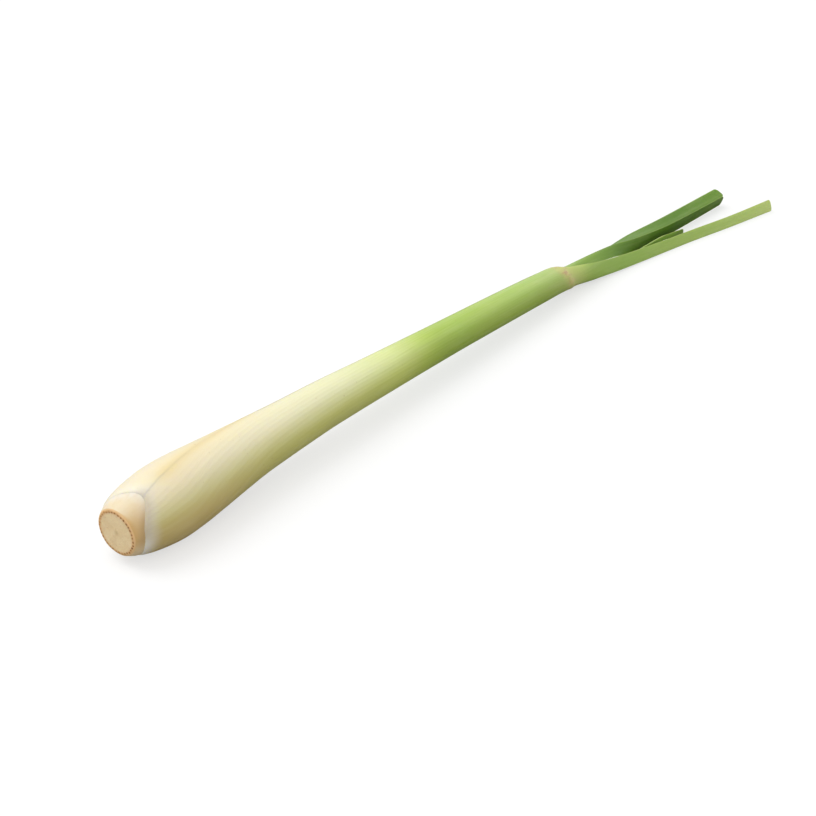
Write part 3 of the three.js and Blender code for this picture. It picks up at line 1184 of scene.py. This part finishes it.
# ------------ the cut stem
@dataclass
class CutStem:
    """The woody foot of the stalk, with its cut face and the vessels in it."""

    datum: Datum
    sides: int = 120
    spacing: float = 0.35
    profile: tuple[tuple[float, float], ...] = (
        (0.06, 0.0), (0.02, 1.2), (0.05, 2.6), (0.0, 4.0), (0.04, 5.2), (0.02, 6.2), (0.0, 6.9),
        (0.03, 7.25), (0.08, 7.45), (0.2, 7.66), (0.42, 7.84), (0.9, 8.08), (1.5, 8.4), (2.2, 8.74),
        (3.0, 9.06), (3.8, 9.34), (4.6, 9.6), (5.4, 9.85), (6.4, 10.12), (7.4, 10.37), (8.2, 10.5),
        (9.0, 10.2), (10.0, 9.2), (12.0, 6.0), (17.0, 0.0),
    )
    unevenness: float = 0.18  # how far the side is out of round, fading out inside this radius
    unevenness_from: float = 4.0
    bumps: tuple[float, float] = (1.6, 0.25)  # how quickly that changes, round and along
    dip: float = 0.05  # how uneven the cut face is, and how far back the face goes
    dip_pitch: float = 0.4
    dip_seed: float = 7.0
    face_depth: float = 0.3
    ring_radius: float = 6.95
    ring_count: int = 35
    vessel_size: tuple[float, float, float] = (0.36, 0.36, 0.14)  # half the length, width and depth
    vessel_turn: float = 0.09
    vessel_stretch: Span = (0.65, 1.3)
    vessel_drift: float = 0.12
    pith_share: float = 0.93
    pith_sides: int = 64
    pith_density: float = 560000.0
    dot_size: tuple[float, float] = (0.075, 0.03)  # half the width and depth
    dot_stretch: Span = (0.5, 1.3)
    set_in: float = 0.01

    def rings(self) -> list[tuple[float, float]]:
        """Divides the profile.

        Returns:
            Its points after the first, about a spacing apart: distance and radius.
        """
        steps: list[tuple[float, float]] = []
        for (xa, ra), (xb, rb) in zip(self.profile, self.profile[1:]):
            count = max(1, round(math.hypot(xb - xa, rb - ra) / self.spacing))
            steps += [(xa + (xb - xa) * i / count, ra + (rb - ra) * i / count) for i in range(count)]
        return steps[1:]

    def skin_point(self, x: float, radius: float, turn: float) -> tuple[float, float, float]:
        """A point of the stem's skin, a little out of true.

        Args:
            x: the distance from the root cut.
            radius: the profile's radius there.
            turn: the angle round the axis.

        Returns:
            The place along, across and over the floor.
        """
        y, z = AXIS.at(x)
        c, s = math.cos(turn), math.sin(turn)
        swell = noise.noise(Vector((c * self.bumps[0], s * self.bumps[0], x * self.bumps[1])))
        grown = radius + swell * self.unevenness * min(radius / self.unevenness_from, 1.0)
        if x < self.face_depth:
            spot = Vector((grown * c * self.dip_pitch, grown * s * self.dip_pitch, self.dip_seed))
            x += noise.noise(spot) * self.dip
        return max(x, 0.0), y + grown * c, z + grown * s * FLATTENING

    def stem(self) -> bpy.types.Object:
        """Turns the stem round its axis.

        Returns:
            The stem piece.
        """
        rings = self.rings()
        tip = self.profile[-1][0]
        turns = [2 * math.pi * k / self.sides for k in range(self.sides)]
        skin = [self.skin_point(x, radius, turn) for x, radius in rings for turn in turns]
        places = [(self.profile[0][0], *AXIS.at(0.0)), *skin, (tip, *AXIS.at(tip))]
        points = [self.datum.point(*place) for place in places]
        faces: list[tuple[int, ...]] = []
        for k in range(self.sides):
            after = (k + 1) % self.sides
            faces.append((0, 1 + after, 1 + k))
            for i in range(len(rings) - 1):
                a, b = 1 + i * self.sides, 1 + (i + 1) * self.sides
                faces.append((a + k, a + after, b + after, b + k))
            last = 1 + (len(rings) - 1) * self.sides
            faces.append((last + k, last + after, len(points) - 1))
        mesh = bpy.data.meshes.new("cut_stem")
        mesh.from_pydata(points, [], faces)
        mesh.shade_smooth()
        mesh.materials.append(StemFinish(tuple(self.datum.point(0.0, *AXIS.at(0.0)))).material())
        return place_piece("cut_stem", mesh)

    def vessels(self) -> bpy.types.Object:
        """Sets the wood vessels' ends into the cut, in a ring and scattered over the pith.

        Returns:
            The piece of all the vessels' ends.
        """
        r = Rule("vessel_rule")
        radius = r.size("ring radius", self.ring_radius * MM)
        count = r.size("ring count", self.ring_count)
        length = r.size("dash length", self.vessel_size[0] * MM)
        width = r.size("dash width", self.vessel_size[1] * MM)
        density = r.size("pith density", self.pith_density)
        dot = r.size("dot size", self.dot_size[0] * MM)
        seed = r.size("seed", 5)
        bead = r.add("GeometryNodeMeshIcoSphere", None, {"Radius": 1.0, "Subdivisions": 1}, "Mesh")

        # the ring of dashes, each a little out of its place
        ring = r.add("GeometryNodeMeshCircle", {"fill_type": "NONE"}, {"Vertices": count, "Radius": radius})
        turn = r.add("GeometryNodeInputIndex") * (2 * math.pi) / count
        jitter = r.draw(-self.vessel_turn, self.vessel_turn, seed)
        stretch = r.draw(*self.vessel_stretch, seed + 1)
        drift = r.draw(-self.vessel_drift * MM, self.vessel_drift * MM, seed + 2)
        moved = {"Geometry": ring, "Offset": r.vector(drift, drift, 0.0)}
        dash = {
            "Points": r.add("GeometryNodeSetPosition", None, moved),
            "Instance": bead,
            "Rotation": r.vector(0.0, 0.0, turn + jitter + math.pi / 2),
            "Scale": r.vector(length * stretch, width, self.vessel_size[2] * MM),
        }
        dashes = r.add("GeometryNodeInstanceOnPoints", None, dash)

        # the dots over the pith
        disc = {"Vertices": self.pith_sides, "Radius": radius * self.pith_share}
        disc = {"Mesh": r.add("GeometryNodeMeshCircle", {"fill_type": "NGON"}, disc), "Density": density}
        scattered = {"distribute_method": "RANDOM"}
        spread = r.add("GeometryNodeDistributePointsOnFaces", scattered, {**disc, "Seed": seed}, "Points")
        wide = dot * r.draw(*self.dot_stretch, seed + 4)
        round_dot = {"Points": spread, "Instance": bead, "Scale": r.vector(wide, wide, self.dot_size[1] * MM)}
        dots = r.add("GeometryNodeInstanceOnPoints", None, round_dot)
        both = r.add("GeometryNodeJoinGeometry", None, {"Geometry": dashes})
        r.tree.links.new(dots.socket, both.socket.node.inputs[0])

        # stood up in the cut face
        upright = {
            "Geometry": both,
            "Rotation": (0.0, -math.pi / 2, 0.0),
            "Translation": self.datum.point(self.set_in, *AXIS.at(0.0)),
            "Scale": (FLATTENING, 1.0, 1.0),
        }
        r.close(r.add("GeometryNodeTransform", None, upright), VesselFinish().material())
        start = bpy.data.meshes.new("vessel_start")
        start.from_pydata([(0.0, 0.0, 0.0)], [], [])
        return r.grow("stem_vessels", start, {})

    def build(self) -> list[bpy.types.Object]:
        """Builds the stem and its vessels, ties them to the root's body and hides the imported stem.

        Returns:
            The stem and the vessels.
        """
        stem, vessels = self.stem(), self.vessels()
        for piece in (stem, vessels):
            point_outwards(piece)
            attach(piece, "root")
        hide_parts("stem_base")
        return [stem, vessels]


# ------------ the studio
@dataclass
class Studio:
    """A pale floor, soft light and the camera."""

    datum: Datum
    white: tuple[float, float, float, float] = (1.0, 1.0, 1.0, 1.0)
    floor_size: float = 6.0  # in metres, as are the lamp's size and distance
    floor_gap: float = 0.00005
    floor_grey: float = 0.4
    floor_glow: float = 0.62
    ambient: float = 0.79
    key_power: float = 7.8
    key_size: float = 1.3
    key_from: tuple[float, float, float] = (-0.32, 0.62, 1.0)
    key_distance: float = 1.3
    key_target: tuple[float, float, float] = (150.0, 0.0, 5.0)
    lens: float = 100.0
    sensor: float = 36.0
    seen_from: float = 0.01
    seen_to: float = 50.0
    target: tuple[float, float, float] = (112.5, -15.0, 6.42)
    distance: float = 722.2
    forward: tuple[float, float, float] = (0.652, 0.548, -0.523)

    def floor(self) -> None:
        """Lays a pale floor that stays white where it isn't shaded."""
        half, height = self.floor_size / 2, self.datum.floor - self.floor_gap
        corners = [(-half, -half, height), (half, -half, height), (half, half, height), (-half, half, height)]
        mesh = bpy.data.meshes.new("floor")
        mesh.from_pydata(corners, [], [(0, 1, 2, 3)])
        material = bpy.data.materials.new("pale_floor")
        g = clear_nodes(material)
        paper = g.add("ShaderNodeBsdfDiffuse", None, {"Color": (*(self.floor_grey,) * 3, 1.0)})
        seen = g.add("ShaderNodeLightPath", None, None, "Is Camera Ray") * self.floor_glow
        glow = g.add("ShaderNodeEmission", None, {"Color": self.white, "Strength": seen})
        surface = g.add("ShaderNodeAddShader", None, {0: paper, 1: glow})
        g.add("ShaderNodeOutputMaterial", None, {"Surface": surface})
        mesh.materials.append(material)
        floor = place_piece("floor", mesh)
        floor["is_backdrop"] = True

    def world(self) -> None:
        """Gives even light from all round, and a white background."""
        world = bpy.data.worlds.new("studio")
        g = clear_nodes(world)
        paths = g.add("ShaderNodeLightPath").socket.node
        rays = ("Is Camera Ray", "Is Glossy Ray", "Is Transmission Ray")
        camera, glossy, through = (Value(g, paths.outputs[name]) for name in rays)
        seen = g.math("MAXIMUM", g.math("MAXIMUM", camera, glossy), through)
        soft, full = (
            g.add("ShaderNodeBackground", None, {"Color": self.white, "Strength": strength})
            for strength in (self.ambient, 1.0)
        )
        both = g.add("ShaderNodeMixShader", None, {0: seen, 1: soft, 2: full})
        g.add("ShaderNodeOutputWorld", None, {"Surface": both})
        bpy.context.scene.world = world

    def key(self) -> None:
        """Hangs one large soft lamp behind and above."""
        data = bpy.data.lights.new("key", "AREA")
        data.shape = "DISK"
        data.size = self.key_size
        data.energy = self.key_power
        lamp = bpy.data.objects.new("key", data)
        way = Vector(self.key_from).normalized()
        lamp.location = self.datum.point(*self.key_target) + way * self.key_distance
        lamp.rotation_euler = way.to_track_quat("Z", "Y").to_euler()
        bpy.context.scene.collection.objects.link(lamp)

    def camera(self) -> None:
        """Sets up the camera, level and looking down along the stalk."""
        data = bpy.data.cameras.new("camera")
        data.lens = self.lens
        data.sensor_width = self.sensor
        data.clip_start, data.clip_end = self.seen_from, self.seen_to
        camera = bpy.data.objects.new("camera", data)
        way = Vector(self.forward).normalized()
        camera.location = self.datum.point(*self.target) - way * self.distance * MM
        camera.rotation_euler = (-way).to_track_quat("Z", "Y").to_euler()
        bpy.context.scene.collection.objects.link(camera)
        bpy.context.scene.camera = camera

    def build(self) -> None:
        """Sets up the camera, the floor and the light."""
        self.camera()
        self.floor()
        self.world()
        self.key()
        bpy.context.scene.view_settings.view_transform = "Standard"


def main() -> None:
    """Builds the studio, the stem and the leaves, and logs each piece."""
    logging.basicConfig(level=logging.INFO, format="%(name)s: %(message)s")
    datum = find_datum()
    Studio(datum).build()
    for piece in CutStem(datum).build():
        LOG.info("built %s", piece.name)
    for leaf in (outer_leaf(), second_leaf(), third_leaf()):
        LOG.info("built %s", leaf.build(datum).name)


if __name__ == "__main__":
    main()
